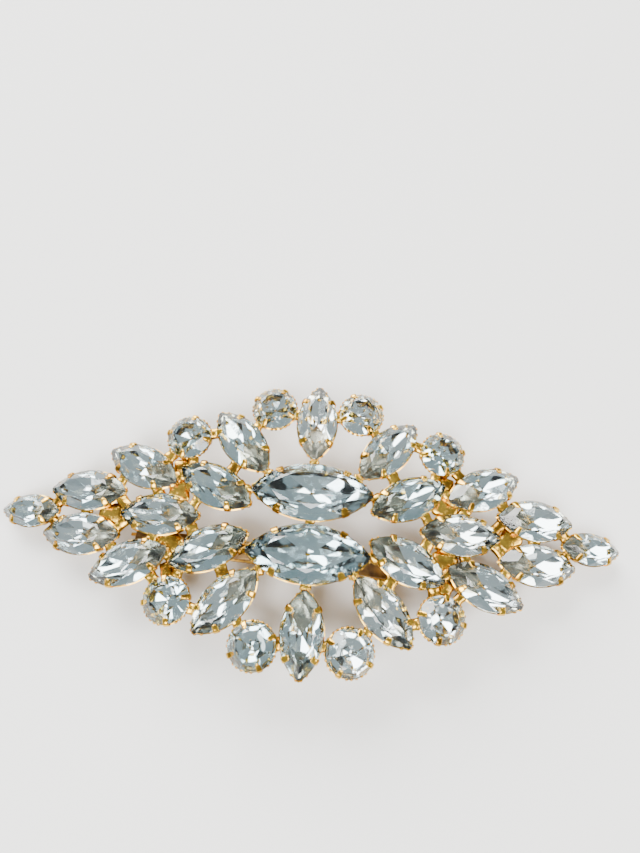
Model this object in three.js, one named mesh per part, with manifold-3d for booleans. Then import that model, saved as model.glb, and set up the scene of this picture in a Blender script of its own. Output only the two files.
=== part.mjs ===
// A rhinestone hair clip: foiled glass stones in soldered prong cups, over a slim sprung barrette.
//
// Millimetres. +X runs along the clip, +Y across it, +Z up out of the stones. The origin is the
// middle of the footprint, on the surface that the clip lies on. The cups are soldered side by side
// into one curved shell. Under its lower half runs a stamped rail with the hinge of the snap arm at
// one end and the catch ears at the other. The hair is held between the rail and the arm.
import * as THREE from "three";
import { mergeVertices } from "three/addons/utils/BufferGeometryUtils.js";
import Module from "manifold-3d";

const wasm = await Module();
wasm.setup();

// ---- Driving dimensions -------------------------------------------------------------------------

// Stones: length and width of the outline, height above the girdle, depth below it.
const STONES = {
  big: { length: 15, width: 7, crown: 1.7, pavilion: 2.5, prongWidth: 1.0, pointed: true },
  small: { length: 10, width: 5, crown: 1.3, pavilion: 1.9, prongWidth: 0.8, pointed: true },
  tip: { length: 8, width: 4, crown: 1.1, pavilion: 1.6, prongWidth: 0.7, pointed: true },
  round: { length: 5.4, width: 5.4, crown: 1.1, pavilion: 1.9, prongWidth: 0.75, pointed: false },
};
const GIRDLE = 0.25; // thickness of a stone's edge
const TABLE_SHARE = 0.45; // a table's width over its stone's width
const CULET = 0.15; // half width left at the foot of a stone

// Cups: thin pressed walls that taper down from the rim, with prongs bent over the stone.
const CUP_WALL = 0.35;
const CUP_LIP = 0.1; // how far the rim stands outside the stone
const CUP_FLOOR = 0.3;
const CUP_TAPER = 0.55; // the foot's outline is drawn in by this share of the half width
const SEAT_CLEARANCE = 0.06; // between a stone and its cup
const PRONG_THICKNESS = 0.24;
const PRONG_REACH = 0.75; // how far a prong leans in over the crown
const PRONG_TIP = 0.2; // a prong's thickness at its end
const PRONG_ROOT = 0.7; // how far down the wall it starts
const PRONG_SHARE = 0.5; // from the middle of a pointed stone's side to its end, to a prong

// Solder: neighbouring rims stand this far apart, with a lug across.
const SOLDER_GAP = 0.22;
const LUG = { width: 0.9, height: 0.45, drop: 0.4, bite: 0.4, clearance: 0.1 };

// Shell: bent along its length and, less, across it.
const BEND_ALONG = 140;
const BEND_ACROSS = 260;

// Rail: a stamped strip under the cups, off the middle line and a little askew.
const RAIL = { start: -21.5, end: 21, width: 2.2, thickness: 0.6, y: -3.75, turn: -3.5 };
const RAIL_CLEARANCE = 0.12; // under the deepest cup
const PAD = { length: 2, clearance: 0.1 }; // solder between the rail and the shallower cups
const EAR = { length: 2.4, thickness: 0.45, below: 0.75 }; // hinge ears, and their reach below the pin

// Snap arm: lies on the surface in the middle and curves up to the hinge and to the catch.
const ARM = { width: 2, thickness: 0.55, flatShare: 0.55, noseX: -20.5, noseGap: 0.45 };
const PIN = { diameter: 0.7, headDiameter: 1.25, headHeight: 0.3 };
const PIN_X = 19.4;
const GROUND_CLEARANCE = 0.15; // under the barrel
const BARREL_WALL = 0.4;
const RUNNING_CLEARANCE = 0.12;

// Leaf spring: bowed down from the rail onto the hair.
const LEAF = { halfLength: 15, width: 1.6, thickness: 0.3, sag: 1.25, foot: 1.6, clearance: 0.08 };

// Catch: the arm's nose is a fork that grips two sprung ears, which hang from the rail. Squeezed
// together by their tabs, they let the fork go.
const FORK = { length: 3, halfWidth: 1.55, slotHalf: 0.95, web: 0.7 };
const CATCH_EAR = { thickness: 0.4, length: 1.9, neck: 0.6, tab: 2, foot: 0.35, clearance: 0.08 };

// Facets.
const SIDES = 8; // of a stone's or cup's outline
const HOLE_SIDES = 12;
const FINE_SIDES = 48; // of the outlines that are slid together

// ---- Small tools --------------------------------------------------------------------------------

const rad = THREE.MathUtils.degToRad;

// A closed mesh through a stack of rings that all have the same number of points, bottom to top,
// each ring running anticlockwise seen from the top.
function loft(rings) {
  const count = rings[0].length;
  const positions = rings.flat().flatMap((p) => [p.x, p.y, p.z]);
  const faces = [];
  for (let r = 0; r + 1 < rings.length; r++)
    for (let i = 0; i < count; i++) {
      const a = r * count + i;
      const b = r * count + ((i + 1) % count);
      faces.push(a, b, b + count, a, b + count, a + count);
    }
  const top = (rings.length - 1) * count;
  for (let i = 1; i + 1 < count; i++) faces.push(0, i + 1, i, top, top + i, top + i + 1);
  return new THREE.BufferGeometry()
    .setAttribute("position", new THREE.Float32BufferAttribute(positions, 3))
    .setIndex(faces);
}

function solidOf(geometry) {
  const bare = geometry.clone();
  bare.deleteAttribute("normal");
  bare.deleteAttribute("uv");
  const merged = mergeVertices(bare, 1e-4);
  const mesh = new wasm.Mesh({
    numProp: 3,
    vertProperties: new Float32Array(merged.attributes.position.array),
    triVerts: new Uint32Array(merged.index.array),
  });
  return new wasm.Manifold(mesh);
}

function geometryOf(solid) {
  const mesh = solid.getMesh();
  return new THREE.BufferGeometry()
    .setAttribute("position", new THREE.Float32BufferAttribute(mesh.vertProperties, 3))
    .setIndex(new THREE.Uint32BufferAttribute(mesh.triVerts, 1));
}

const unite = (solids) => solids.reduce((all, next) => all.add(next));

// A box between two corners.
function box(low, high) {
  const size = new THREE.Vector3().subVectors(high, low);
  const middle = new THREE.Vector3().addVectors(low, high).multiplyScalar(0.5);
  return new THREE.BoxGeometry(size.x, size.y, size.z).translate(middle.x, middle.y, middle.z);
}

// An outline in the XZ plane, given as [x, z] pairs, extruded along Y from y0 to y1.
function sidePlate(outline, y0, y1) {
  const shape = new THREE.Shape(outline.map(([x, z]) => new THREE.Vector2(x, z)));
  const plate = new THREE.ExtrudeGeometry(shape, { depth: y1 - y0, bevelEnabled: false });
  return plate.rotateX(Math.PI / 2).translate(0, y1, 0);
}

// A cylinder along Y.
const rodAlongY = (diameter, length, sides) =>
  new THREE.CylinderGeometry(diameter / 2, diameter / 2, length, sides);

// ---- Outlines -----------------------------------------------------------------------------------

// The outline of a stone, grown outwards by a distance, as points in the plane. A pointed stone is
// two equal arcs that meet in two points, so growing it keeps the arcs' centres.
function outline(stone, grow, sides) {
  const halfLength = stone.length / 2;
  const halfWidth = stone.width / 2;
  if (!stone.pointed) {
    const radius = halfWidth + grow;
    return Array.from({ length: sides }, (_, i) => {
      const angle = (2 * Math.PI * i) / sides;
      return new THREE.Vector2(radius * Math.cos(angle), radius * Math.sin(angle));
    });
  }
  const arcRadius = (halfLength ** 2 + halfWidth ** 2) / (2 * halfWidth);
  const centre = arcRadius - halfWidth;
  const radius = arcRadius + grow;
  const half = Math.acos(centre / radius);
  const perArc = sides / 2;
  return Array.from({ length: sides }, (_, i) => {
    const side = i < perArc ? 1 : -1;
    const angle = half - (2 * half * (i % perArc)) / perArc;
    return new THREE.Vector2(
      side * radius * Math.sin(angle),
      side * (radius * Math.cos(angle) - centre),
    );
  });
}

// The same outline as a ring in space.
const ring = (stone, grow, z) =>
  outline(stone, grow, SIDES).map((p) => new THREE.Vector3(p.x, p.y, z));

// Where a stone's prongs stand: a point of its outline and the outward direction there.
function prongPlaces(stone) {
  const halfLength = stone.length / 2;
  const halfWidth = stone.width / 2;
  const arcRadius = (halfLength ** 2 + halfWidth ** 2) / (2 * halfWidth);
  const centre = stone.pointed ? arcRadius - halfWidth : 0;
  const angle = stone.pointed ? PRONG_SHARE * Math.acos(centre / arcRadius) : rad(45);
  const out = new THREE.Vector2(Math.sin(angle), Math.cos(angle));
  const at = out.clone().multiplyScalar(arcRadius).sub(new THREE.Vector2(0, centre));
  return [1, -1].flatMap((sx) =>
    [1, -1].map((sy) => {
      const flip = new THREE.Vector2(sx, sy);
      return { at: at.clone().multiply(flip), out: out.clone().multiply(flip) };
    }),
  );
}

// ---- Where the stones go ------------------------------------------------------------------------

// The smallest distance between two outlines that don't cross, and the point of each that gives it.
function closest(one, other) {
  let best = { distance: Infinity };
  const toSegments = (points, loop, swap) => {
    for (const p of points)
      loop.forEach((a, i) => {
        const b = loop[(i + 1) % loop.length];
        const along = b.clone().sub(a);
        const share = THREE.MathUtils.clamp(p.clone().sub(a).dot(along) / along.lengthSq(), 0, 1);
        const q = a.clone().addScaledVector(along, share);
        const distance = p.distanceTo(q);
        if (distance < best.distance) best = { distance, from: swap ? q : p, to: swap ? p : q };
      });
  };
  toSegments(one, other, false);
  toSegments(other, one, true);
  return best;
}

// The rim's outline of a placed stone, in the flat pattern.
const rimOf = (place, sides = FINE_SIDES) =>
  outline(STONES[place.kind], CUP_LIP, sides).map((p) =>
    p.clone().rotateAround(new THREE.Vector2(), place.turn).add(place.at),
  );

// The four mirror images of a place, or fewer where it lies on an axis.
function images(place) {
  const found = [];
  for (const sx of place.at.x ? [1, -1] : [1])
    for (const sy of place.at.y ? [1, -1] : [1])
      found.push({
        ...place,
        at: new THREE.Vector2(place.at.x * sx, place.at.y * sy),
        turn: place.turn * sx * sy,
        sides: [sy > 0 ? "upper" : "lower", sx > 0 ? "right" : "left"],
      });
  return found;
}

// Slides a stone in along a line, as at the bench, until it is a gap away from what is there. The
// line starts at aim and runs at the bearing, in degrees. The stone also stays in its own quarter.
function slideIn(placed, { name, kind, turn, bearing, aim = [0, 0], gap = SOLDER_GAP }) {
  const direction = new THREE.Vector2(Math.cos(rad(bearing)), Math.sin(rad(bearing)));
  if (bearing === 90) direction.set(0, 1);
  const start = new THREE.Vector2(...aim);
  const others = placed.flatMap(images).map((other) => rimOf(other));
  const at = (t) => ({ name, kind, turn: rad(turn), at: start.clone().addScaledVector(direction, t) });
  const clear = (t) => {
    const place = at(t);
    const rim = rimOf(place);
    const inX = !place.at.x || Math.min(...rim.map((p) => p.x)) >= SOLDER_GAP / 2;
    const inY = !place.at.y || Math.min(...rim.map((p) => p.y)) >= SOLDER_GAP / 2 - 1e-6;
    return inX && inY && others.every((other) => closest(rim, other).distance >= gap);
  };
  const step = 0.25;
  let far = STONES.big.length + 8 * STONES.small.length;
  while (clear(far - step)) far -= step;
  let near = far - step;
  while (far - near > 1e-4) {
    const middle = (far + near) / 2;
    if (clear(middle)) far = middle;
    else near = middle;
  }
  return at(far);
}

const halfRim = (kind) => STONES[kind].width / 2 + CUP_LIP + SOLDER_GAP / 2;

const pattern = [];
const add = (spec) => pattern.push(slideIn(pattern, spec));
pattern.push({ name: "big", kind: "big", turn: 0, at: new THREE.Vector2(0, halfRim("big")) });
add({ name: "crest", kind: "small", turn: 90, bearing: 90 });
add({ name: "fan", kind: "small", turn: 48, bearing: 48, aim: [0.4, 0] });
add({ name: "inner_round", kind: "round", turn: 25, bearing: 69 });
add({ name: "petal", kind: "small", turn: 25, bearing: 25, aim: [3.6, 0] });
add({ name: "outer_round", kind: "round", turn: 10, bearing: 32, gap: 0.7 });
add({ name: "middle", kind: "small", turn: 0, bearing: 0, gap: 0.85 });
add({ name: "wing", kind: "small", turn: 23, bearing: 23, aim: [7.2, 0], gap: 0.5 });
add({ name: "pair", kind: "small", turn: 0, bearing: 0, aim: [0, halfRim("small")], gap: 0.5 });
add({ name: "tip", kind: "tip", turn: 0, bearing: 0, gap: 0.6 });
const stones = pattern.flatMap(images);

// ---- The bent shell -----------------------------------------------------------------------------

// The frame of a point of the flat pattern on the bent shell, as a matrix: X and Y stay along and
// across the clip, and Z points out of the shell. The lengths along both bends are kept. Heights
// are from the girdles at the middle of the clip.
function shellFrame(u, v, turn = 0) {
  const along = u / BEND_ALONG;
  const across = v / BEND_ACROSS;
  const bentAlong = new THREE.Group();
  bentAlong.position.set(BEND_ALONG * Math.sin(along), 0, -BEND_ALONG * (1 - Math.cos(along)));
  bentAlong.rotation.y = along;
  const bentAcross = new THREE.Group();
  bentAcross.position.set(0, BEND_ACROSS * Math.sin(across), -BEND_ACROSS * (1 - Math.cos(across)));
  bentAcross.rotation.x = -across;
  const turned = new THREE.Group();
  turned.rotation.z = turn;
  bentAlong.add(bentAcross.add(turned));
  bentAlong.updateMatrixWorld(true);
  return turned.matrixWorld.clone();
}

const frameOf = (place) => shellFrame(place.at.x, place.at.y, place.turn);

// ---- Stones -------------------------------------------------------------------------------------

const crownRun = (stone) => (stone.width / 2) * (1 - TABLE_SHARE);
const crownSlope = (stone) => (stone.crown - GIRDLE / 2) / crownRun(stone);

// A cut stone with its girdle's middle at the origin: foot, girdle and table are one outline each.
const cutStone = (stone) =>
  loft([
    ring(stone, CULET - stone.width / 2, -stone.pavilion),
    ring(stone, 0, -GIRDLE / 2),
    ring(stone, 0, GIRDLE / 2),
    ring(stone, -crownRun(stone), stone.crown),
  ]);

// ---- Cups ---------------------------------------------------------------------------------------

// How fast a stone widens above its foot, and the height of the rim that it then rests in.
const pavilionSlope = (stone) => (stone.width / 2 - CULET) / (stone.pavilion - GIRDLE / 2);
const rimHeight = (stone) =>
  -GIRDLE / 2 - (CUP_WALL - CUP_LIP + SEAT_CLEARANCE) / pavilionSlope(stone);
const cupDepth = (stone) => stone.pavilion + SEAT_CLEARANCE + CUP_FLOOR;
const wallSlope = (stone) =>
  ((stone.width / 2) * CUP_TAPER) / (cupDepth(stone) + rimHeight(stone));

// One prong: up the outside of the cup and the girdle, then in over the crown.
function prong(stone, { at, out }) {
  const inner = SEAT_CLEARANCE;
  const outer = inner + PRONG_THICKNESS;
  const shoulder = GIRDLE / 2 + SEAT_CLEARANCE;
  const rimZ = rimHeight(stone);
  const root = CUP_LIP - CUP_WALL / 2;
  const rootDrop = PRONG_ROOT * wallSlope(stone);
  const tipZ = shoulder + (PRONG_REACH + inner) * crownSlope(stone);
  const side = [
    [root - rootDrop, rimZ - PRONG_ROOT],
    [outer, rimZ],
    [outer, shoulder],
    [-PRONG_REACH, tipZ + PRONG_TIP],
    [-PRONG_REACH, tipZ],
    [inner, shoulder],
    [inner, rimZ],
  ];
  const tab = sidePlate(side, -stone.prongWidth / 2, stone.prongWidth / 2);
  return solidOf(tab.rotateZ(Math.atan2(out.y, out.x)).translate(at.x, at.y, 0));
}

// The outline of a cup's foot.
const footRing = (stone) =>
  ring(stone, CUP_LIP - (stone.width / 2) * CUP_TAPER, -cupDepth(stone));

// A cup in its own frame, without its solder.
function cup(stone) {
  const rimZ = rimHeight(stone);
  const slope = wallSlope(stone);
  const inside = CUP_LIP - CUP_WALL;
  const above = 0.5;
  const shell = solidOf(loft([footRing(stone), ring(stone, CUP_LIP, rimZ)]));
  const floorZ = -cupDepth(stone) + CUP_FLOOR;
  const hollow = solidOf(
    loft([
      ring(stone, inside + slope * (floorZ - rimZ), floorZ),
      ring(stone, inside + slope * above, rimZ + above),
    ]),
  );
  return unite([shell.subtract(hollow), ...prongPlaces(stone).map((place) => prong(stone, place))]);
}

// The cups that are soldered into one piece, by the names of their stones.
const GROUPS = {
  cup_big: ["big"],
  cups_crest: ["crest", "inner_round"],
  cup_fan: ["fan"],
  cups_petal: ["petal", "outer_round"],
  cup_middle: ["middle"],
  cup_wing: ["wing"],
  cups_pair: ["pair"],
  cup_tip: ["tip"],
};
const MERGED_SIDES = { cups_crest: 1, cups_pair: 0 }; // the side word that such a piece spans

function nodeName(group, place) {
  const words = [...place.sides];
  if (!place.at.x) words[1] = "";
  if (!place.at.y) words[0] = "";
  if (group in MERGED_SIDES) words[MERGED_SIDES[group]] = "";
  return [group, ...words].filter(Boolean).join("_");
}

const cupName = (place) =>
  nodeName(
    Object.keys(GROUPS).find((group) => GROUPS[group].includes(place.name)),
    place,
  );

// A solder lug from one cup towards its neighbour. Across a joint inside a piece it bites into both
// cups, and between two pieces it stops just short of the second.
function lug(from, to, joined) {
  const link = closest(rimOf(from, SIDES), rimOf(to, SIDES));
  const across = link.to.clone().sub(link.from);
  const end = joined ? link.distance + LUG.bite : link.distance - LUG.clearance;
  const top = -LUG.drop;
  const block = box(
    new THREE.Vector3(-LUG.bite, -LUG.width / 2, top - LUG.height),
    new THREE.Vector3(end, LUG.width / 2, top),
  );
  const heading = Math.atan2(across.y, across.x);
  return solidOf(block.applyMatrix4(shellFrame(link.from.x, link.from.y, heading)));
}

// Which kinds of neighbour are soldered to each other. Of the mirror images of a kind, only the
// nearest one is a neighbour.
const SOLDERED = [
  ["big", "big"],
  ["big", "crest"],
  ["big", "fan"],
  ["big", "petal"],
  ["crest", "inner_round"],
  ["fan", "inner_round"],
  ["fan", "outer_round"],
  ["fan", "petal"],
  ["petal", "outer_round"],
  ["petal", "middle"],
  ["petal", "wing"],
  ["outer_round", "wing"],
  ["middle", "wing"],
  ["middle", "pair"],
  ["wing", "pair"],
  ["pair", "pair"],
  ["pair", "tip"],
];
const separation = (a, b) => a.at.distanceTo(b.at);
const neighbours = SOLDERED.flatMap(([one, other]) => {
  const pairs = stones
    .filter(({ name }) => name === one)
    .flatMap((from) =>
      stones
        .filter((to) => to.name === other && to !== from)
        .map((to) => ({ from, to, joined: cupName(from) === cupName(to) })),
    )
    .filter(({ from, to }) => one !== other || from.at.y > to.at.y);
  const shortest = Math.min(...pairs.map(({ from, to }) => separation(from, to)));
  return pairs.filter(({ from, to }) => separation(from, to) < shortest + SOLDER_GAP);
});

const cupSolids = new Map();
for (const place of stones) {
  const name = cupName(place);
  const placed = solidOf(geometryOf(cup(STONES[place.kind])).applyMatrix4(frameOf(place)));
  const links = neighbours.filter(({ from }) => from === place);
  const lugs = links.map(({ from, to, joined }) => lug(from, to, joined));
  cupSolids.set(name, [...(cupSolids.get(name) ?? []), placed, ...lugs]);
}

// ---- Heights ------------------------------------------------------------------------------------

// How far the bend has dropped at a place along the clip.
const droop = (x) => BEND_ALONG - Math.sqrt(BEND_ALONG ** 2 - x ** 2);

// The rail passes under the deepest cup, and the arm's barrel turns under the rail.
const railTop = cupDepth(STONES.big) + RAIL_CLEARANCE;
const railBottom = railTop + RAIL.thickness;
const barrelRadius = PIN.diameter / 2 + RUNNING_CLEARANCE + BARREL_WALL;

// The feet of the tip cups stand on the surface, unless the hinge needs more height than that.
const tipPlace = stones.find((place) => place.name === "tip");
const tipFeet = footRing(STONES.tip).map((p) => p.applyMatrix4(frameOf(tipPlace)).z);
const hingeStack =
  GROUND_CLEARANCE + 2 * barrelRadius + RUNNING_CLEARANCE + railBottom + droop(PIN_X);
const girdleHeight = Math.max(-Math.min(...tipFeet), hingeStack);

// Height above the surface of a point at a depth below the girdles, which the rail follows.
const heightAtDepth = (x, depth) => girdleHeight - depth - droop(x);
const pinHeight = heightAtDepth(PIN_X, railBottom) - RUNNING_CLEARANCE - barrelRadius;

// ---- Rail ---------------------------------------------------------------------------------------

// The clasp is drawn in the rail's own frame, with heights above the surface.

// A strip between two heights that are functions of x, as an outline in the XZ plane.
function stripOutline(x0, x1, bottom, top, steps) {
  const xs = Array.from({ length: steps + 1 }, (_, i) => THREE.MathUtils.lerp(x0, x1, i / steps));
  return [...xs.map((x) => [x, bottom(x)]), ...xs.reverse().map((x) => [x, top(x)])];
}

const rail = sidePlate(
  stripOutline(
    RAIL.start,
    RAIL.end,
    (x) => heightAtDepth(x, railBottom),
    (x) => heightAtDepth(x, railTop),
    8,
  ),
  -RAIL.width / 2,
  RAIL.width / 2,
);

// The rail is soldered under the lower petals, whose cups are shallower than the big one.
const petal = pattern.find((place) => place.name === "petal");
const padTop = cupDepth(STONES.small) + PAD.clearance;
function pad(x) {
  const tall = (depth) => (station) => heightAtDepth(station, depth);
  const outlineXZ = stripOutline(
    x - PAD.length / 2,
    x + PAD.length / 2,
    tall((railTop + railBottom) / 2),
    tall(padTop),
    1,
  );
  return sidePlate(outlineXZ, -RAIL.width / 2, RAIL.width / 2);
}

// One hinge ear, on the side of the given sign, with a round foot about the pin.
function ear(side) {
  const inner = RAIL.width / 2 - EAR.thickness;
  const y0 = side > 0 ? inner : -RAIL.width / 2;
  const web = [
    [PIN_X - EAR.length / 2, pinHeight],
    [PIN_X - EAR.below, pinHeight - EAR.below],
    [PIN_X + EAR.below, pinHeight - EAR.below],
    [PIN_X + EAR.length / 2, pinHeight],
    [PIN_X + EAR.length / 2, heightAtDepth(PIN_X + EAR.length / 2, (railTop + railBottom) / 2)],
    [PIN_X - EAR.length / 2, heightAtDepth(PIN_X - EAR.length / 2, (railTop + railBottom) / 2)],
  ];
  return sidePlate(web, y0, y0 + EAR.thickness);
}

const pinHole = solidOf(
  rodAlongY(PIN.diameter + 2 * RUNNING_CLEARANCE, 4 * RAIL.width, HOLE_SIDES).translate(
    PIN_X,
    0,
    pinHeight,
  ),
);
const railSolid = unite(
  [rail, pad(petal.at.x), pad(-petal.at.x), ear(1), ear(-1)].map((piece) => solidOf(piece)),
).subtract(pinHole);

// ---- Hinge pin ----------------------------------------------------------------------------------

// A turned pin with a head at each end, standing just outside the ears.
function hingePin() {
  const reach = RAIL.width / 2 + RUNNING_CLEARANCE;
  const end = reach + PIN.headHeight;
  const profile = [
    [0, -end],
    [PIN.headDiameter / 2 - 0.12, -end],
    [PIN.headDiameter / 2, -reach],
    [PIN.diameter / 2, -reach],
    [PIN.diameter / 2, reach],
    [PIN.headDiameter / 2, reach],
    [PIN.headDiameter / 2 - 0.12, end],
    [0, end],
  ];
  return new THREE.LatheGeometry(
    profile.map(([r, y]) => new THREE.Vector2(r, y)),
    HOLE_SIDES,
  ).translate(PIN_X, 0, pinHeight);
}

// ---- Snap arm -----------------------------------------------------------------------------------

// Height of the arm's underside: flat on the surface in the middle, curving up to both ends. The
// nose stops short of the rail.
const noseHeight = heightAtDepth(ARM.noseX, railBottom) - ARM.noseGap - ARM.thickness;
function armUnder(x) {
  const middle = (PIN_X + ARM.noseX) / 2;
  const half = (PIN_X - ARM.noseX) / 2;
  const share = (x - middle) / half;
  const curve = Math.max(0, (Math.abs(share) - ARM.flatShare) / (1 - ARM.flatShare));
  const rise = share > 0 ? pinHeight - ARM.thickness / 2 : noseHeight;
  return rise * curve ** 2;
}
const armOver = (x) => armUnder(x) + ARM.thickness;

// In plan the strip narrows to a tongue between the ears, and at its nose it widens to a fork.
const tongueHalf = RAIL.width / 2 - EAR.thickness - RUNNING_CLEARANCE;
const tongueStart = PIN_X - EAR.length / 2 - 2 * RUNNING_CLEARANCE;
const forkEnd = ARM.noseX + FORK.length;
const slotEnd = forkEnd - FORK.web;
const overEnd = 1;
const upperEdge = [
  [slotEnd, FORK.slotHalf],
  [ARM.noseX - overEnd, FORK.slotHalf],
  [ARM.noseX - overEnd, FORK.halfWidth],
  [forkEnd, FORK.halfWidth],
  [forkEnd + FORK.web, ARM.width / 2],
  [tongueStart, ARM.width / 2],
  [tongueStart, tongueHalf],
  [PIN_X + overEnd, tongueHalf],
];
const lowerEdge = upperEdge.map(([x, y]) => [x, -y]).reverse();
const armPlan = new THREE.Shape([...upperEdge, ...lowerEdge].map(([x, y]) => new THREE.Vector2(x, y)));
const planBlock = new THREE.ExtrudeGeometry(armPlan, {
  depth: 2 * overEnd + pinHeight,
  bevelEnabled: false,
}).translate(0, 0, -overEnd);
const armStrip = sidePlate(
  stripOutline(ARM.noseX, PIN_X, armUnder, armOver, 14),
  -2 * FORK.halfWidth,
  2 * FORK.halfWidth,
);
const barrel = rodAlongY(2 * barrelRadius, 2 * tongueHalf, HOLE_SIDES);
const snapArm = solidOf(armStrip)
  .intersect(solidOf(planBlock))
  .add(solidOf(barrel.translate(PIN_X, 0, pinHeight)))
  .subtract(pinHole);

// ---- Leaf spring --------------------------------------------------------------------------------

// A bowed strip whose two feet lie flat under the rail.
function leafSpring() {
  const over = (x) => {
    const share = Math.max(0, 1 - (x / (LEAF.halfLength - LEAF.foot)) ** 2);
    return heightAtDepth(x, railBottom + LEAF.clearance) - LEAF.sag * share;
  };
  const under = (x) => over(x) - LEAF.thickness;
  return sidePlate(
    stripOutline(-LEAF.halfLength, LEAF.halfLength, under, over, 12),
    -LEAF.width / 2,
    LEAF.width / 2,
  );
}

// ---- Catch ears ---------------------------------------------------------------------------------

// One ear: a plate that hangs from the rail inside the fork's slot, with a tab beyond the nose.
function catchEar(side) {
  const inEnd = slotEnd - 2 * RUNNING_CLEARANCE;
  const outEnd = inEnd - CATCH_EAR.length;
  const tabEnd = ARM.noseX - CATCH_EAR.tab;
  const top = heightAtDepth(outEnd, railBottom) - CATCH_EAR.clearance;
  const outer = side * (FORK.slotHalf - RUNNING_CLEARANCE);
  const inner = outer - side * CATCH_EAR.thickness;
  const web = [
    [inEnd, top],
    [outEnd, top],
    [outEnd, CATCH_EAR.foot + 2 * CATCH_EAR.neck],
    [tabEnd, CATCH_EAR.foot + CATCH_EAR.neck],
    [tabEnd, CATCH_EAR.foot],
    [inEnd, CATCH_EAR.foot],
  ];
  return sidePlate(web, Math.min(inner, outer), Math.max(inner, outer));
}

// ---- Materials and assembly ---------------------------------------------------------------------

const crystal = new THREE.MeshStandardMaterial({ color: 0xdfe9ea, roughness: 0.05, metalness: 0.4 });
const gold = new THREE.MeshStandardMaterial({ color: 0xd9a441, roughness: 0.25, metalness: 1 });
const brass = new THREE.MeshStandardMaterial({ color: 0xc9963c, roughness: 0.35, metalness: 1 });
const springSteel = new THREE.MeshStandardMaterial({ color: 0xcaa25a, roughness: 0.3, metalness: 1 });

const clip = new THREE.Group();

function addNode(parent, name, geometry, material) {
  const mesh = new THREE.Mesh(geometry, material);
  mesh.name = name;
  parent.add(mesh);
  return mesh;
}

const shell = new THREE.Group();
clip.add(shell);
for (const place of stones) {
  const stone = addNode(
    shell,
    nodeName("stone_" + place.name, place),
    cutStone(STONES[place.kind]),
    crystal,
  );
  frameOf(place).decompose(stone.position, stone.quaternion, stone.scale);
}
for (const [name, solids] of cupSolids) addNode(shell, name, geometryOf(unite(solids)), gold);

shell.position.z = girdleHeight;

const clasp = new THREE.Group();
clasp.position.y = RAIL.y;
clasp.rotation.z = rad(RAIL.turn);
clip.add(clasp);
addNode(clasp, "clip_rail", geometryOf(railSolid), brass);
addNode(clasp, "hinge_pin", hingePin(), brass);
addNode(clasp, "snap_arm", geometryOf(snapArm), brass);
addNode(clasp, "leaf_spring", leafSpring(), springSteel);
addNode(clasp, "catch_ear_upper", catchEar(1), springSteel);
addNode(clasp, "catch_ear_lower", catchEar(-1), springSteel);

export default clip;
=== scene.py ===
# %% [markdown]
# # A rhinestone hair clip
#
# Clear foiled glass stones sit in small prong cups. The cups are soldered side by side into one
# curved shell, and a slim barrette with a snap arm is soldered under it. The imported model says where
# every piece is. This script makes the fine shapes and finishes that stand in those places.

# %% Load the frame
import itertools
import math

import bpy
import numpy as np
from mathutils import Matrix, Vector


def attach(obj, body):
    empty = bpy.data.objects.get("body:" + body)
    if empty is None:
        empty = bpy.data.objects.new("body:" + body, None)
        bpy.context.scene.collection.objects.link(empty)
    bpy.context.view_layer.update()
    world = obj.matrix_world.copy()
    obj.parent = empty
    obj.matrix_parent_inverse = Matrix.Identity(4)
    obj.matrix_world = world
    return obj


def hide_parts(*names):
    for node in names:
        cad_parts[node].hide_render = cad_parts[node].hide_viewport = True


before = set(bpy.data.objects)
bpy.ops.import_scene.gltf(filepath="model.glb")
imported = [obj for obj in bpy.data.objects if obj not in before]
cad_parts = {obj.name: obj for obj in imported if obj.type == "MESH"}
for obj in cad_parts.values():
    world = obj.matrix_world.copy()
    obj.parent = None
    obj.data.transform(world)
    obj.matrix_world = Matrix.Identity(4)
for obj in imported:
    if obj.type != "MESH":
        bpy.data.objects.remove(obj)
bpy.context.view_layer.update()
MM = 0.001

# %% [markdown]
# ## Where each stone sits
#
# The 32 stones come in four kinds, and each one is tilted and turned in its own way. They could be
# placed by hand from a list of angles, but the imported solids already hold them. Each solid is the
# same on both sides of its middle lines, so one of the main directions of its corners is the
# stone's own way up. The corner of its girdle that is farthest from the middle gives the way along,
# which on a pointed stone is from tip to tip.

# %% Read the stones from the frame

GIRDLE_MARGIN = 0.4 * MM  # corners nearer than this to the foot or the table aren't the girdle's


def corners_of(node):
    """The corners of a CAD solid, each one once, as rows of an array."""
    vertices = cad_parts[node].data.vertices
    return np.unique(np.round([list(vertex.co) for vertex in vertices], 6), axis=0)


def seat_of(node):
    """Where a stone sits: a matrix whose origin is at the middle of its girdle, and its sizes."""
    corners = corners_of(node)
    centred = corners - corners.mean(0)
    _, directions = np.linalg.eigh(centred.T @ centred)
    up = directions[:, np.argmax(abs(directions[2]))]
    up = up * np.sign(up[2])
    heights = corners @ up
    inner = (heights > heights.min() + GIRDLE_MARGIN) & (heights < heights.max() - GIRDLE_MARGIN)
    girdle = corners[inner]
    middle = heights[inner].mean()
    centre = girdle.mean(0)
    farthest = girdle[np.argmax(np.linalg.norm(girdle - centre, axis=1))] - centre
    along = farthest - up * (farthest @ up)
    along = along / np.linalg.norm(along) * (1 if farthest[0] >= 0 else -1)
    across = np.cross(up, along)
    seat = Matrix([[along[i], across[i], up[i], centre[i]] for i in range(3)] + [[0, 0, 0, 1]])
    return seat, {
        "half_length": float(abs((girdle - centre) @ along).max()),
        "half_width": float(abs((girdle - centre) @ across).max()),
        "crown": float(heights.max() - middle),
        "pavilion": float(middle - heights.min()),
    }


def kind_of(node):
    """The kind of a stone, from its node's name."""
    return next((kind for kind in ("big", "tip", "round") if kind in node), "small")


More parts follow.
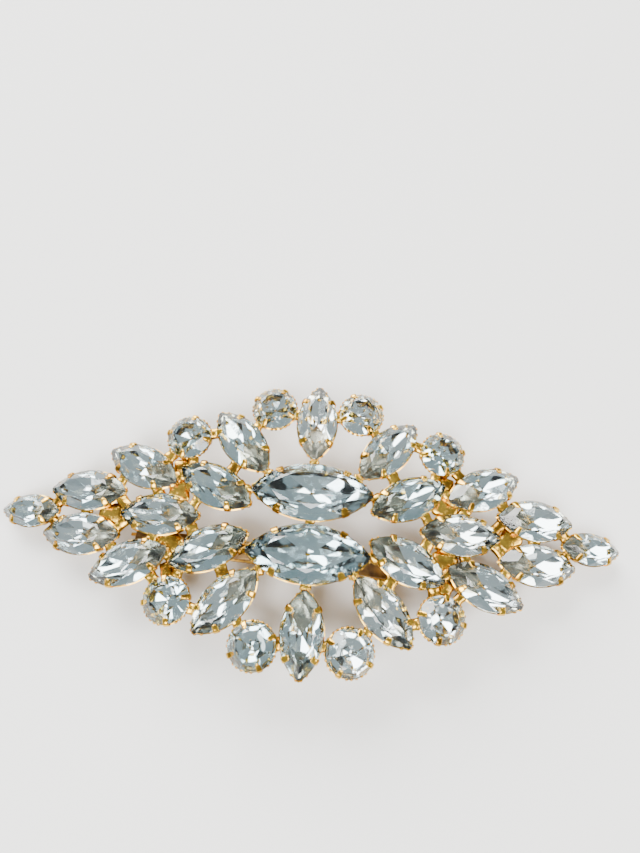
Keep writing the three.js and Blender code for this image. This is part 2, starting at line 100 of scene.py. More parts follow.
stone_nodes = [name for name in sorted(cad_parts) if name.startswith("stone_")]
seats = {}
sizes = {}
for node in stone_nodes:
    seats[node], sizes[kind_of(node)] = seat_of(node)
for kind, size in sizes.items():
    print(kind, {word: round(value / MM, 2) for word, value in size.items()})

# %% [markdown]
# ## Materials
#
# The stones are clear glass with a silver foil behind them, and most of their sparkle comes from
# the foil, seen through the crown. A single shiny paint would look like metal, and glass alone
# would look empty. So a stone has two finishes: glass on the crown, and a mirror on the pavilion,
# which is seen from inside. The metal is a thin gold plate: bright on what is rubbed, a little
# browner and duller where polish and dirt stay. The unevenness could be painted by hand, but noise
# patterns do it for every piece at once.

# %% Helpers for materials


def new_material(name, **uniform):
    """A material with the shader's own sockets set to what is the same all over."""
    material = bpy.data.materials.new(name)
    material.use_nodes = True
    shader = material.node_tree.nodes["Principled BSDF"]
    for socket, value in uniform.items():
        shader.inputs[socket.replace("_", " ")].default_value = value
    print("material", name)
    return material, material.node_tree, shader


def noise(tree, scale, detail=4.0, stretch=(1, 1, 1)):
    """A noise pattern on Object coordinates, with its scale in patterns per metre."""
    place = tree.nodes.new("ShaderNodeTexCoord")
    mapping = tree.nodes.new("ShaderNodeMapping")
    mapping.inputs["Scale"].default_value = stretch
    pattern = tree.nodes.new("ShaderNodeTexNoise")
    pattern.inputs["Scale"].default_value = scale
    pattern.inputs["Detail"].default_value = detail
    pattern.inputs["Roughness"].default_value = 0.55
    tree.links.new(place.outputs["Object"], mapping.inputs["Vector"])
    tree.links.new(mapping.outputs["Vector"], pattern.inputs["Vector"])
    return pattern.outputs["Fac"]


def colour_by(tree, shader, factor, *stops):
    """Colours the surface by a ramp with (place, colour) stops."""
    node = tree.nodes.new("ShaderNodeValToRGB")
    elements = node.color_ramp.elements
    while len(elements) < len(stops):
        elements.new(0.5)
    for element, (place, colour) in zip(elements, stops):
        element.position = place
        element.color = (*colour, 1)
    tree.links.new(factor, node.inputs["Fac"])
    tree.links.new(node.outputs["Color"], shader.inputs["Base Color"])


def roughen(tree, shader, factor, low, high):
    """Roughness that runs from low to high as the factor runs from 0.3 to 0.7."""
    node = tree.nodes.new("ShaderNodeMapRange")
    node.inputs["From Min"].default_value = 0.3
    node.inputs["From Max"].default_value = 0.7
    node.inputs["To Min"].default_value = low
    node.inputs["To Max"].default_value = high
    tree.links.new(factor, node.inputs["Value"])
    tree.links.new(node.outputs["Result"], shader.inputs["Roughness"])


def bump(tree, shader, height, distance, strength):
    """Relief too fine to model, as deep as the distance."""
    node = tree.nodes.new("ShaderNodeBump")
    node.inputs["Distance"].default_value = distance
    node.inputs["Strength"].default_value = strength
    tree.links.new(height, node.inputs["Height"])
    tree.links.new(node.outputs["Normal"], shader.inputs["Normal"])


# %% Glass and foil


def make_crystal(name, deep, clear):
    """Clear glass with a cool tint that is a little uneven, and marks left by the polishing."""
    material, tree, shader = new_material(name, Transmission_Weight=1.0, IOR=1.58)
    colour_by(tree, shader, noise(tree, scale=90), (0.35, deep), (0.65, clear))
    roughen(tree, shader, noise(tree, scale=900), low=0.0, high=0.03)
    marks = noise(tree, scale=2500, detail=6, stretch=(1, 4, 1))
    bump(tree, shader, marks, distance=0.004 * MM, strength=0.3)
    return material


def make_foil(name, dark, middle, light, roughness):
    """A thin mirror that lies behind the glass, uneven like brushed-on silver."""
    material, tree, shader = new_material(name, Metallic=1.0)
    patches = noise(tree, scale=110, detail=2)
    colour_by(tree, shader, patches, (0.32, dark), (0.5, middle), (0.68, light))
    roughen(tree, shader, noise(tree, scale=700), *roughness)
    bump(tree, shader, noise(tree, scale=900, detail=2), distance=0.02 * MM, strength=0.5)
    return material


crystal_glass = make_crystal("crystal_glass", deep=(0.80, 0.93, 0.945), clear=(0.92, 0.98, 0.985))
thick_glass = make_crystal("thick_glass", deep=(0.77, 0.92, 0.94), clear=(0.89, 0.97, 0.975))
silver_foil = make_foil(
    "silver_foil", dark=(0.66, 0.75, 0.78), middle=(0.86, 0.92, 0.94), light=(0.98, 0.99, 0.99),
    roughness=(0.03, 0.10),
)
# painted shade and a painted reflection of the gold prongs, for the foil at the inner tips
dull_foil = make_foil(
    "dull_foil", dark=(0.36, 0.33, 0.25), middle=(0.50, 0.46, 0.36), light=(0.68, 0.64, 0.53),
    roughness=(0.08, 0.22),
)

# %% Gold


def make_gold(name, bright, dull, roughness, grain=(1, 1, 1), relief=0.05 * MM):
    """Gold plate, bright where rubbing wore it. The grain stretches the marks of the brush."""
    material, tree, shader = new_material(name, Metallic=1.0)
    colour_by(tree, shader, noise(tree, scale=420, detail=6), (0.38, dull), (0.56, bright))
    roughen(tree, shader, noise(tree, scale=1500, detail=5, stretch=grain), *roughness)
    hammering = noise(tree, scale=1100, detail=6, stretch=grain)
    bump(tree, shader, hammering, distance=relief, strength=0.45)
    return material


cup_gold = make_gold(
    "cup_gold", bright=(0.74, 0.44, 0.06), dull=(0.34, 0.17, 0.02), roughness=(0.10, 0.28)
)
solder_gold = make_gold(
    "solder_gold", bright=(0.74, 0.45, 0.065), dull=(0.32, 0.16, 0.02), roughness=(0.12, 0.30),
    relief=0.22 * MM,
)
clasp_gold = make_gold(
    "clasp_gold", bright=(0.80, 0.50, 0.12), dull=(0.50, 0.28, 0.06), roughness=(0.20, 0.42),
    grain=(1, 6, 6),
)
# painted shade: the bar under the stones is painted dark brown for the shadow that it lies in
browned_gold = make_gold(
    "browned_gold", bright=(0.21, 0.13, 0.05), dull=(0.09, 0.055, 0.03), roughness=(0.3, 0.5),
    grain=(1, 6, 6),
)
spring_gold = make_gold(
    "spring_gold", bright=(0.72, 0.48, 0.16), dull=(0.45, 0.27, 0.08), roughness=(0.16, 0.34),
    grain=(1, 8, 8),
)

# %% [markdown]
# ## The outline of a pointed stone
#
# A pointed stone's outline is two equal arcs that meet in two points. Its facets, its cup and the
# beads on the rim all follow it. A place on it could be given in millimetres. Here it is a share of
# the way from the middle of an arc to its end, so the same shares suit all the sizes.

# %% Places on an outline


def shape_of(kind):
    """The outline of a kind of stone: round, or pointed at both ends."""
    return "round" if kind == "round" else "pointed"


def arc_of(size, grow):
    """The radius of the arcs, how far their centres are off the middle, and half their angle."""
    radius = (size["half_length"] ** 2 + size["half_width"] ** 2) / (2 * size["half_width"])
    off = radius - size["half_width"]
    return radius + grow, off, math.acos(off / (radius + grow))


def rim_places(kind, shares, grow=0.0):
    """Points of the outline and the directions out, for shares along every arc or quarter."""
    size = sizes[kind]
    places = []
    if kind == "round":
        for quarter in range(4):
            for share in shares:
                angle = (quarter + 0.5 + share / 2) * math.pi / 2
                out = Vector((math.cos(angle), math.sin(angle), 0))
                places.append((out * (size["half_width"] + grow), out))
        return places
    radius, off, half = arc_of(size, grow)
    for side in (1, -1):
        for share in shares:
            out = Vector((math.sin(share * half), side * math.cos(share * half), 0))
            places.append((out * radius - Vector((0, side * off, 0)), out))
    return places


for kind in ("big", "small", "tip"):
    radius, _, half = arc_of(sizes[kind], 0.0)
    print(kind, "arcs of", round(radius / MM, 2), "mm,", round(math.degrees(2 * half)), "degrees each")

# %% [markdown]
# ## Cutting a stone
#
# A gem is a block that is ground flat, facet after facet. Its faces could be drawn one by one, but
# then they are seldom quite flat. Bisect with fill works as the grinder does: it cuts the block at
# a plane, throws the outer part away and closes the cut. So every facet is truly flat, and the
# light breaks along sharp edges. The girdle comes first, then the pavilion to its point, then the
# crown and its table.

# %% Helpers for modelling by hand


def start():
    """Leaves edit mode and selects nothing, before a new primitive is added."""
    if bpy.context.object and bpy.context.object.mode != "OBJECT":
        bpy.ops.object.mode_set(mode="OBJECT")
    bpy.ops.object.select_all(action="DESELECT")


def take(*pieces):
    """Selects these pieces and nothing else, and makes the first one active."""
    start()
    for piece in pieces:
        piece.select_set(True)
    bpy.context.view_layer.objects.active = pieces[0]


def edit():
    """Goes into edit mode with everything selected."""
    bpy.ops.object.mode_set(mode="EDIT")
    bpy.ops.mesh.select_all(action="SELECT")


def done(name):
    """Ends the edit, applies the object's place and gives it its name."""
    bpy.ops.object.mode_set(mode="OBJECT")
    piece = bpy.context.object
    bpy.ops.object.transform_apply(location=True, rotation=True, scale=True)
    piece.name = name
    piece.data.name = name
    return piece


def cut_facet(point, normal):
    """Grinds the block flat at a plane."""
    bpy.ops.mesh.select_all(action="SELECT")
    bpy.ops.mesh.bisect(
        plane_co=point, plane_no=normal, use_fill=True, clear_outer=True, threshold=1e-7
    )


def slope_cut(point, out, height, degrees):
    """A facet through a rim point at a height, leaning in by an angle from the level."""
    angle = math.radians(degrees)
    up = math.copysign(math.cos(angle), height)
    cut_facet((point.x, point.y, height), (out.x * math.sin(angle), out.y * math.sin(angle), up))


# %% Cut the girdle and the pavilion

GIRDLE = 0.12 * MM  # half its thickness
TIP_FLAT = 0.2 * MM  # the points are ground off by this much
# the shares at which the girdle, the main facets and the facets between them are cut
FACETS = {
    "pointed": {
        "girdle": [tenths / 10 for tenths in range(-9, 10, 2)],
        "main": [-0.78, -0.26, 0.26, 0.78],
        "between": [-0.52, 0.0, 0.52],
    },
    "round": {"girdle": [-0.75, -0.25, 0.25, 0.75], "main": [-0.5, 0.5], "between": [0.0, 1.0]},
}
PAVILION_LEAN = 5  # degrees by which the facets between are steeper than a line to the foot


def cut_girdle(kind, size, facets):
    """Cuts the outline out of a block that is larger than the stone."""
    start()
    bpy.ops.mesh.primitive_cube_add(
        size=1, scale=(3 * size["half_length"], 3 * size["half_width"], 2 * size["pavilion"])
    )
    done("block")
    edit()
    for point, out in rim_places(kind, facets["girdle"]):
        cut_facet(point, out)
    if kind != "round":
        for end in (1, -1):
            cut_facet((end * (size["half_length"] - TIP_FLAT), 0, 0), (end, 0, 0))


def cut_pavilion(kind, size, facets):
    """Cuts the underside: the main facets meet in a point, and narrow ones go between them."""
    culet = Vector((0, 0, -size["pavilion"]))
    for point, out in rim_places(kind, facets["main"]):
        girdle_foot = Vector((point.x, point.y, -GIRDLE))
        along = out.cross(Vector((0, 0, 1)))
        normal = along.cross(culet - girdle_foot).normalized()
        cut_facet(girdle_foot, normal if normal.dot(out) > 0 else -normal)
    for point, out in rim_places(kind, facets["between"]):
        lean = math.degrees(math.atan2(size["pavilion"] - GIRDLE, point.dot(out)))
        slope_cut(point, out, -GIRDLE, lean + PAVILION_LEAN)


# %% Cut the crown

TABLE_SHARE = {"big": 0.56, "small": 0.5, "tip": 0.5, "round": 0.6}  # of the stone's width
POLISH = 0.01 * MM  # taken off the table by the last polish
CROWN_LEAN = 9  # degrees by which the facets between are steeper than the main ones
# the small facets at the table: shares of the way in, of the crown's height and of the main lean
STAR = {"in": 0.72, "height": 0.86, "lean": 0.55}
GLASS, FOIL, PAINTED_SHADE_AND_REFLECTION = 0, 1, 2  # the places of the materials in a stone's list
UNDERSIDE = -0.2  # faces that look further down than this have the foil


def crown_run(kind):
    """How far the crown reaches in from the rim to the table."""
    return sizes[kind]["half_width"] * (1 - TABLE_SHARE[kind])


def cut_crown(kind, size, facets):
    """Cuts the top: main facets, those between, the small ones at the table, and the table."""
    run = crown_run(kind)
    bezel = math.degrees(math.atan2(size["crown"] - GIRDLE, run))
    for point, out in rim_places(kind, facets["main"]):
        slope_cut(point, out, GIRDLE, bezel)
    for point, out in rim_places(kind, facets["between"]):
        slope_cut(point, out, GIRDLE, bezel + CROWN_LEAN)
        star_point = point - out * run * STAR["in"]
        slope_cut(star_point, out, size["crown"] * STAR["height"], bezel * STAR["lean"])
    cut_facet((0, 0, size["crown"] - POLISH), (0, 0, 1))


def cut_stone(kind):
    """One finished stone of a kind, with the middle of its girdle at the origin."""
    size = sizes[kind]
    facets = FACETS[shape_of(kind)]
    cut_girdle(kind, size, facets)
    cut_pavilion(kind, size, facets)
    cut_crown(kind, size, facets)
    stone = done("cut_" + kind)
    for material in (thick_glass if kind == "big" else crystal_glass, silver_foil, dull_foil):
        stone.data.materials.append(material)
    for face in stone.data.polygons:
        face.material_index = FOIL if face.normal.z < UNDERSIDE else GLASS
    print(stone.name, len(stone.data.polygons), "facets")
    return stone


stones = {kind: cut_stone(kind) for kind in sizes}

# %% [markdown]
# ## Setting the stones
#
# Stones of a kind come from one box and differ in little but their place. Each could be cut anew,
# but it is quicker to copy one finished stone into every cup. Linked copies would be lighter still,
# but each place is held in the mesh, so each copy has a mesh of its own. On the small and the end
# stones, the foil at the end that points at the middle of the clip is painted darker and gold-tinted:
# painted shade and a painted reflection of the gold prongs.

# %% Copy the stones to their seats

PAINTED_SHADE_FROM = 0.42  # the share of the half length from which the foil has the painted shade and gold reflection


def copy_to(piece, name, matrix):
    """A copy with its own mesh, whose place is in the mesh."""
    made = piece.copy()
    made.data = piece.data.copy()
    made.name = name
    made.data.name = name
    made.data.transform(matrix)
    bpy.context.scene.collection.objects.link(made)
    return made


def paint_shade_and_reflection_at_inner_tip(piece, seat, half_length):
    """Paints shade and a gold reflection on the foil at the end that points at the clip's middle."""
    along = Vector(seat.col[0][:3])
    inward = -1 if along.dot(seat.translation.xy.to_3d()) > 0 else 1
    for face in piece.data.polygons:
        share = (face.center - seat.translation).dot(along) * inward / half_length
        if face.material_index == FOIL and share > PAINTED_SHADE_FROM:
            face.material_index = PAINTED_SHADE_AND_REFLECTION


for node in stone_nodes:
    kind = kind_of(node)
    piece = copy_to(stones[kind], node.replace("stone_", "gem_"), seats[node])
    if kind in ("small", "tip"):
        paint_shade_and_reflection_at_inner_tip(piece, seats[node], sizes[kind]["half_length"])
    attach(piece, "shell")
    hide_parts(node)
for stone in stones.values():
    bpy.data.objects.remove(stone)
print(len(stone_nodes), "stones set")

# %% [markdown]
# ## The prong cups
#
# A cup is pressed from thin sheet: a tapered wall with a few beads on its rim, and prongs that are
# bent over the girdle once the stone is in. A cylinder could be scaled to make the wall, but it
# would not have pointed ends. So the wall starts as the outline at the rim, and is extruded down in
# steps. A prong could be a bent box. Here it starts as the end of a strip, and is extruded up the
# wall and in over the crown, one bend after another, so its width can change as it goes.

# %% Draw the outline of a cup

RIM_OUT = 0.1 * MM  # the rim stands this far outside the stone
RIM_DROP = 0.33 * MM  # and this far below the girdle
ROUND_POINTS = 32
ARC_POINTS = 15


def draw_outline(kind):
    """Draws the outline of a cup's rim as a closed ring of edges, at the rim's height."""
    if kind == "round":
        bpy.ops.mesh.primitive_circle_add(
            vertices=ROUND_POINTS, radius=sizes[kind]["half_width"] + RIM_OUT,
            location=(0, 0, -RIM_DROP),
        )
        done("outline")
        edit()
        return
    radius, off, half = arc_of(sizes[kind], RIM_OUT)
    count = 4 * round(ARC_POINTS * math.pi / half / 4)
    bpy.ops.mesh.primitive_circle_add(vertices=count, radius=radius, location=(0, -off, -RIM_DROP))
    done("outline")
    edit()
    bpy.ops.mesh.bisect(plane_co=(0, 0, 0), plane_no=(0, -1, 0), clear_outer=True, threshold=1e-7)
    bpy.ops.mesh.select_all(action="SELECT")
    bpy.ops.mesh.duplicate()
    bpy.ops.transform.rotate(value=math.pi, orient_axis="Z", center_override=(0, 0, 0))
    bpy.ops.mesh.select_all(action="SELECT")
    bpy.ops.mesh.remove_doubles(threshold=0.02 * MM)


# %% Press the wall of a cup

WALL = 0.3 * MM
FOOT = 0.3 * MM  # the cup is this much deeper than its stone
# how far down each step of the wall goes, as a share of its height, and how much it draws in; the
# last steps are the flat foot and the dimple that the punch leaves in it
WALL_STEPS = ((0.12, 0.96), (0.38, 0.86), (0.38, 0.78), (0.12, 0.82), (0.0, 0.72), (-0.05, 0.9))


def modify(piece, kind, **values):
    """Adds a modifier, sets it and applies it."""
    take(piece)
    modifier = piece.modifiers.new(kind, kind)
    for name, value in values.items():
        setattr(modifier, name, value)
    bpy.ops.object.modifier_apply(modifier=modifier.name)


def press_cup(kind):
    """The wall and the foot of a cup, around a stone at the origin."""
    height = sizes[kind]["pavilion"] + FOOT - RIM_DROP
    start()
    draw_outline(kind)
    for share, shrink in WALL_STEPS:
        bpy.ops.mesh.extrude_region_move(TRANSFORM_OT_translate={"value": (0, 0, -share * height)})
        bpy.ops.transform.resize(value=(shrink, shrink, 1), center_override=(0, 0, 0))
    bpy.ops.mesh.edge_face_add()
    bpy.ops.mesh.select_all(action="SELECT")
    bpy.ops.mesh.normals_make_consistent(inside=False)
    wall = done("wall_" + kind)
    modify(wall, "SOLIDIFY", thickness=WALL, offset=-1)
    return wall


# %% Bend a prong

PRONG_WIDTH = {"big": 1.0 * MM, "small": 0.8 * MM, "tip": 0.7 * MM, "round": 0.7 * MM}
PRONG_THICKNESS = 0.234 * MM
PRONG_STAND = 0.16 * MM  # how far outside the girdle the middle of a prong goes up
PRONG_REACH = 0.72 * MM  # how far a prong leans in over the crown
PRONG_LIFT = 0.13 * MM  # how far over the crown its middle lies
STRAIGHT_BELOW = -RIM_DROP - 0.5 * MM  # a prong isn't bent at the end that is under this height


def prong_path(kind):
    """The places along a prong, out and up, with the share of its width that it has there."""
    crown_slope = (sizes[kind]["crown"] - GIRDLE) / crown_run(kind)
    wall = [
        (-0.34 * MM, -RIM_DROP - 0.85 * MM, 0.55),
        (-0.06 * MM, -RIM_DROP - 0.3 * MM, 0.8),
        (PRONG_STAND, -RIM_DROP, 1.0),
        (PRONG_STAND, GIRDLE + 0.1 * MM, 0.96),
        (PRONG_STAND - 0.2 * MM, GIRDLE + 0.33 * MM, 0.92),
    ]
    over_crown = [
        (-PRONG_REACH * share, GIRDLE + PRONG_LIFT + PRONG_REACH * share * crown_slope, broad)
        for share, broad in ((0.45, 0.86), (0.8, 0.74), (1.0, 0.42))
    ]
    return wall + over_crown


def bend_prong(kind):
    """A strip up the wall and over the crown, drawn at the origin with the stone on its -X side."""
    path = prong_path(kind)
    start()
    x, z, broad = path[0]
    bpy.ops.mesh.primitive_plane_add(size=1, location=(x, 0, z))
    bpy.context.object.scale = (PRONG_THICKNESS, PRONG_WIDTH[kind] * broad, 1)
    done("prong")
    edit()
    lean = 0.0
    for (x0, z0, broad0), (x1, z1, broad1) in zip(path, path[1:]):
        bpy.ops.mesh.extrude_region_move(TRANSFORM_OT_translate={"value": (x1 - x0, 0, z1 - z0)})
        bpy.ops.transform.resize(value=(1, broad1 / broad0, 1), center_override=(x1, 0, z1))
        heading = math.atan2(x0 - x1, z1 - z0)
        turn = heading - lean if z0 > STRAIGHT_BELOW else 0.0
        bpy.ops.transform.rotate(value=turn, orient_axis="Y", center_override=(x1, 0, z1))
        lean += turn
    bpy.ops.mesh.select_all(action="SELECT")
    bpy.ops.mesh.normals_make_consistent(inside=False)
    prong = done("prong_" + kind)
    modify(prong, "BEVEL", width=0.07 * MM, segments=1)
    modify(prong, "SUBSURF", levels=1, render_levels=1)
    return prong


# %% Join a cup from its wall, prongs and beads

BEAD = 0.17 * MM  # the radius of a bead of the milled rim
BEAD_DROP = 0.2 * MM
PRONG_SHARES = {"round": (0.0,), "pointed": (-0.5, 0.5)}
BEAD_SHARES = {"round": (-0.72, -0.48, 0.48, 0.72, 1.0), "pointed": (-0.93, -0.8, 0.8, 0.93)}


def make_bead():
    """One bead of the milled rim, longer along the rim and up than across it."""
    start()
    bpy.ops.mesh.primitive_ico_sphere_add(subdivisions=2, radius=BEAD, location=(0, 0, -BEAD_DROP))
    done("bead")
    edit()
    bpy.ops.transform.resize(value=(0.8, 1.15, 1.3))
    return done("bead")


def join(pieces, name):
    """Joins several objects into one."""
    take(*pieces)
    bpy.ops.object.join()
    return done(name)


def smooth(piece, degrees):
    """Shades smoothly over the edges that are blunter than an angle."""
    take(piece)
    bpy.ops.object.shade_smooth_by_angle(angle=math.radians(degrees))


def make_cup(kind):
    """One finished cup of a kind, around a stone at the origin."""
    parts = [press_cup(kind)]
    prong = bend_prong(kind)
    bead = make_bead()
    shape = shape_of(kind)
    for piece, shares, grow in (
        (prong, PRONG_SHARES[shape], 0.0), (bead, BEAD_SHARES[shape], RIM_OUT)
    ):
        for point, out in rim_places(kind, shares, grow):
            turn = Matrix.Rotation(math.atan2(out.y, out.x), 4, "Z")
            parts.append(copy_to(piece, piece.name, Matrix.Translation(point) @ turn))
    bpy.data.objects.remove(prong)
    bpy.data.objects.remove(bead)
    cup = join(parts, "cup_of_" + kind)
    cup.data.materials.append(cup_gold)
    smooth(cup, 45)
    print(cup.name, len(cup.data.polygons), "faces")
    return cup


cups = {kind: make_cup(kind) for kind in sizes}

# %% [markdown]
# ## Cups in their places
#
# Each stone has a cup of its own kind, and the cup sits as the stone does, so the stones' seats
# place the cups too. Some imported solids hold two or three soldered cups. They could be finished as
# one piece, but on the bench every cup is a part of its own. So each one stays a piece, and stands
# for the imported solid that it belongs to.

# %% Copy the cups to their stones

cup_nodes = [name for name in sorted(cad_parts) if name.startswith("cup")]
GROUP_OF = {
    "big": "cup_big", "crest": "cups_crest", "inner_round": "cups_crest", "fan": "cup_fan",
    "petal": "cups_petal", "outer_round": "cups_petal", "middle": "cup_middle",
    "wing": "cup_wing", "pair": "cups_pair", "tip": "cup_tip",
}


def cup_node(node):
    """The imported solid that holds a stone's cup."""
    words = node.replace("stone_", "")
    group = next(group for name, group in GROUP_OF.items() if words.startswith(name))
    sides = [side for side in ("upper", "lower", "left", "right") if side in words]
    return next(
        name for name in cup_nodes
        if name.startswith(group)
        and all(side in sides for side in name[len(group):].split("_") if side)
    )


for node in stone_nodes:
    piece = copy_to(cups[kind_of(node)], node.replace("stone_", "setting_"), seats[node])
    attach(piece, "shell")
    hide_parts(cup_node(node))
for cup in cups.values():
    bpy.data.objects.remove(cup)
print(len(stone_nodes), "cups set")

# %% [markdown]
# ## Solder
#
# The cups stand side by side with a small lump of solder in every narrow gap, and that holds the
# shell together. A lump is drawn out between the two walls, so it is thinner in its middle. Lumps
# could be set by eye, but here the gaps are measured from the outlines of the cups, so none is
# missed. One lump is modelled, and a copy is stretched into each gap, because melted metal takes
# the length of the gap that it fills.

# %% Find the gaps to solder

SOLDER_REACH = 1.45 * MM  # the widest gap that is soldered
SOLDER_LEVEL = 0.55 * MM  # how far the lump's middle is below the girdle
OUTLINE_SHARES = [step / 20 for step in range(-20, 21)]


def wall_points(node):
    """Points all round a cup, just under its rim."""
    points = [point for point, _ in rim_places(kind_of(node), OUTLINE_SHARES, RIM_OUT)]
    down = Vector((0, 0, SOLDER_LEVEL))
    return np.array([list(seats[node] @ (point - down)) for point in points])


rings = {node: wall_points(node) for node in stone_nodes}
gaps = []
for first, second in itertools.combinations(stone_nodes, 2):
    reach = np.linalg.norm(rings[first][:, None] - rings[second][None], axis=2)
    i, j = np.unravel_index(reach.argmin(), reach.shape)
    if reach[i, j] < SOLDER_REACH:
        gaps.append((first, second, Vector(rings[first][i]), Vector(rings[second][j])))
widest = max((one - other).length for _, _, one, other in gaps)
print(len(gaps), "gaps, the widest", round(widest / MM, 2), "mm")

# %% Draw out a lump of solder

WAIST = (1, 0.68, 0.75)  # how thin the lump is in its middle
LUMP_BITE = 0.62 * MM  # how much longer than its gap it is
LUMP_WIDTH = 1.3 * MM
LUMP_WIDTH_STEP = 0.15 * MM  # three widths take turns
LUMP_HEIGHT = 0.85 * MM


def make_lump():
    """A lump one unit long, wide and high, thinner in its middle."""
    start()
    bpy.ops.mesh.primitive_cube_add(size=1)
    done("lump")
    edit()
    bpy.ops.mesh.subdivide(number_cuts=3)
    bpy.ops.transform.tosphere(value=0.75)
    bpy.ops.mesh.select_all(action="DESELECT")
    bpy.ops.object.mode_set(mode="OBJECT")
    lump = bpy.context.object
    for vertex in lump.data.vertices:
        vertex.select = abs(vertex.co.x) < 0.1
    bpy.ops.object.mode_set(mode="EDIT")
    bpy.ops.mesh.select_mode(type="VERT")
    bpy.ops.transform.resize(value=WAIST, use_proportional_edit=True, proportional_size=0.35)
    bpy.ops.mesh.select_all(action="SELECT")
    bpy.ops.transform.vertex_random(offset=0.05, uniform=1.0, normal=0.0, seed=4)
    done("lump")
    modify(lump, "SUBSURF", levels=1, render_levels=1)
    lump.data.materials.append(solder_gold)
    smooth(lump, 180)
    return lump


lump = make_lump()
for number, (first, _, one, other) in enumerate(gaps):
    along = (other - one).normalized()
    across = Vector((0, 0, 1)).cross(along).normalized()
    up = along.cross(across)
    length = (other - one).length + LUMP_BITE
    width = LUMP_WIDTH + LUMP_WIDTH_STEP * (number % 3)
    stretched = Matrix([along * length, across * width, up * LUMP_HEIGHT]).transposed().to_4x4()
    place = Matrix.Translation((one + other) / 2)
    piece = copy_to(lump, f"solder_{number + 1:02d}", place @ stretched)
    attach(piece, "shell")
    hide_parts(cup_node(first))
print(len(gaps), "lumps")

# %% [markdown]
# ## Pools of solder
#
# Where three small cups meet, the solder runs together and fills the corner between them. A pool
# could be fitted to the three walls, but only its top is seen. So the same lump serves, made wide
# and flat. It is at the middle of the three gaps, a little deeper than the lumps.

# %% Fill the corners between three cups

POOL_REACH = 5.0 * MM  # three gaps nearer to one another than this share a pool
POOL_SHARE = 0.55  # its width against the distance between the gaps
POOL_DROP = 0.4 * MM
POOL_HEIGHT = 0.8 * MM
POOL_TURN = 2.4  # radians from one pool to the next, so that no two look the same
OPEN_CORNERS = ("big", "tip")  # the corners beside these stones stay open
middles = {frozenset((first, second)): (one + other) / 2 for first, second, one, other in gaps}
corners = []
for first, second, third in itertools.combinations(stone_nodes, 3):
    sides = [frozenset(pair) for pair in ((first, second), (second, third), (first, third))]
    closed = not any(word in first + second + third for word in OPEN_CORNERS)
    if closed and all(pair in middles for pair in sides):
        spots = [middles[pair] for pair in sides]
        spread = max((one - other).length for one, other in itertools.combinations(spots, 2))
        if spread < POOL_REACH:
            corners.append((first, sum(spots, Vector()) / 3, spread))
for number, (node, middle, spread) in enumerate(corners):
    width = spread * POOL_SHARE
    turned = Matrix.Rotation(number * POOL_TURN, 4, "Z")
    place = Matrix.Translation(middle - Vector((0, 0, POOL_DROP))) @ turned
    flat = Matrix.Diagonal((width, width, POOL_HEIGHT, 1))
    pool = copy_to(lump, f"pool_{number + 1:02d}", place @ flat)
    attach(pool, "shell")
    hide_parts(cup_node(node))
bpy.data.objects.remove(lump)
print(len(corners), "pools")

# %% [markdown]
# ## The clasp
#
# The bar, the arm, the spring and the ears are stamped from sheet and tumbled before they are
# gilded, so none of their edges is sharp. They could be modelled anew, but the imported solids
# already have the fits of the hinge and the catch. So each one is finished from its imported solid:
# its triangles are merged, flat ones are joined into whole faces, and the sharp edges are broken.
# The bar lies in the dark under the stones, so that shade is painted into its gold as a dark brown,
# except along the front edge, which keeps plain gold where the light catches it.

# %% Break the edges of the stamped pieces

CORNER = math.radians(28)  # edges sharper than this are broken
# each piece's body, how wide its broken edges are, its material and its slot
CLASP = {
    # the bar's finish is painted shade
    "clip_rail": ("shell", 0.14 * MM, browned_gold, "clasp_metal"),
    "snap_arm": ("arm", 0.12 * MM, clasp_gold, "clasp_metal"),
    "hinge_pin": ("shell", 0.1 * MM, clasp_gold, "clasp_metal"),
    "leaf_spring": ("shell", 0.06 * MM, spring_gold, "spring_metal"),
    "catch_ear_upper": ("ear_upper", 0.07 * MM, spring_gold, "spring_metal"),
    "catch_ear_lower": ("ear_lower", 0.07 * MM, spring_gold, "spring_metal"),
}


def tumble(node, edge, material):
    """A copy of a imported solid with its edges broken, in the same place."""
    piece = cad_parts[node].copy()
    piece.data = piece.data.copy()
    piece.parent = None
    piece.hide_render = False
    bpy.context.scene.collection.objects.link(piece)
    piece.matrix_world = Matrix.Identity(4)
    take(piece)
    edit()
    bpy.ops.mesh.remove_doubles(threshold=0.002 * MM)
    bpy.ops.mesh.dissolve_limited(angle_limit=math.radians(1))
    bpy.ops.mesh.normals_make_consistent(inside=False)
    done("finished_" + node)
    modify(piece, "BEVEL", width=edge, segments=2, limit_method="ANGLE", angle_limit=CORNER)
    piece.data.materials.clear()
    piece.data.materials.append(material)
    smooth(piece, 40)
    print(piece.name, len(piece.data.polygons), "faces")
    return piece


for node, (body, edge, material, slot) in CLASP.items():
    piece = tumble(node, edge, material)
    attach(piece, body)
    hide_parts(node)

# %% Keep the lit front edge of the bar out of the painted shade

LIT_EDGE_UP = (0.25, 0.95)  # the upward share of the normal of a face on the lit front edge is between these
LIT_EDGE_FRONT = -0.25  # and its share to the back is less than this
rail = bpy.data.objects["finished_clip_rail"]
# these faces keep plain gold, so the lit front edge stands bright against the painted shade
rail.data.materials.append(clasp_gold)
lit_edge = 0
for face in rail.data.polygons:
    if LIT_EDGE_UP[0] < face.normal.z < LIT_EDGE_UP[1] and face.normal.y < LIT_EDGE_FRONT:
        face.material_index = 1
        lit_edge += 1
print(lit_edge, "rubbed faces")

# %% [markdown]
# ## Floor, light and camera
#
# The floor is plain and pale. One even sky could light it all, but then all the facets of a stone
# would look the same. A stone needs both something bright and something dark to reflect, so soft
# lamps hang in a darker room. The strongest one hangs lowest, so that the flat tables don't mirror
# it. The camera looks down steeply from close by.

# %% Lay the floor

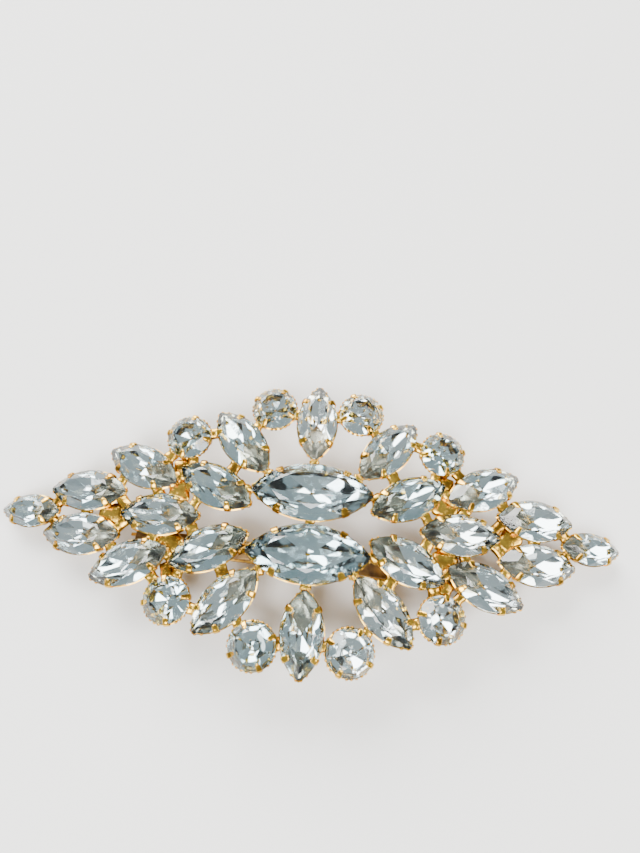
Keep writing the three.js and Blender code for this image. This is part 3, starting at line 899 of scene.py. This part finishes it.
start()
bpy.ops.mesh.primitive_plane_add(size=3, location=(0, 0, 0))
floor = done("floor")
floor_paint, floor_tree, floor_shader = new_material("pale_floor", Roughness=0.85)
floor_tones = ((0.3, (0.70, 0.69, 0.67)), (0.7, (0.73, 0.72, 0.70)))
colour_by(floor_tree, floor_shader, noise(floor_tree, scale=3), *floor_tones)
floor.data.materials.append(floor_paint)

# %% Hang the lights


def soft_light(name, place, size, power, colour=(1, 1, 1)):
    """A square lamp that faces the clip, with its place, size and power in metres and watts."""
    lamp = bpy.data.lights.new(name, "AREA")
    lamp.size = size
    lamp.energy = power
    lamp.color = colour
    holder = bpy.data.objects.new(name, lamp)
    holder.location = place
    holder.rotation_mode = "QUATERNION"
    holder.rotation_quaternion = (-Vector(place)).to_track_quat("-Z", "Y")
    bpy.context.scene.collection.objects.link(holder)
    print(name, power, "W at", round(Vector(place).length, 2), "m")


soft_light("window", (-0.30, 0.62, 0.40), size=0.6, power=24)
soft_light("front", (-0.15, -0.4, 0.6), size=0.45, power=13)
soft_light("fill", (0.5, -0.1, 0.5), size=0.3, power=5, colour=(1.0, 0.97, 0.93))
world = bpy.data.worlds.new("room")
world.use_nodes = True
world.node_tree.nodes["Background"].inputs["Color"].default_value = (0.72, 0.80, 0.82, 1)
world.node_tree.nodes["Background"].inputs["Strength"].default_value = 0.6
bpy.context.scene.world = world

# %% Place the camera

LOOK = Vector((-0.009, 0.350, -0.937))  # the way the camera looks
VIEW_UP = Vector((-0.069, 0.935, 0.349))  # and which way is up for it
EYE_SIDE = 1.1 * MM  # its place: this far to the right of the clip's middle
EYE_FRONT = -16.6 * MM  # this far in front of it, where Y is negative
EYE_HEIGHT = 76.9 * MM  # and this far above the girdles of the big stones
girdle_top = seats["stone_big_upper"].translation.z
eye = Vector((EYE_SIDE, EYE_FRONT, girdle_top + EYE_HEIGHT))
side = LOOK.cross(VIEW_UP).normalized()
upward = side.cross(LOOK).normalized()
back = -LOOK.normalized()
turned = Matrix([side, upward, back]).transposed().to_4x4()
lens = bpy.data.cameras.new("camera")
lens.sensor_width = 36
lens.lens = 27.85
lens.clip_start = 0.002
camera = bpy.data.objects.new("camera", lens)
camera.matrix_world = Matrix.Translation(eye) @ turned
bpy.context.scene.collection.objects.link(camera)
bpy.context.scene.camera = camera
print("camera", round(eye.z / MM, 1), "mm above the floor, lens", round(lens.lens, 2), "mm")
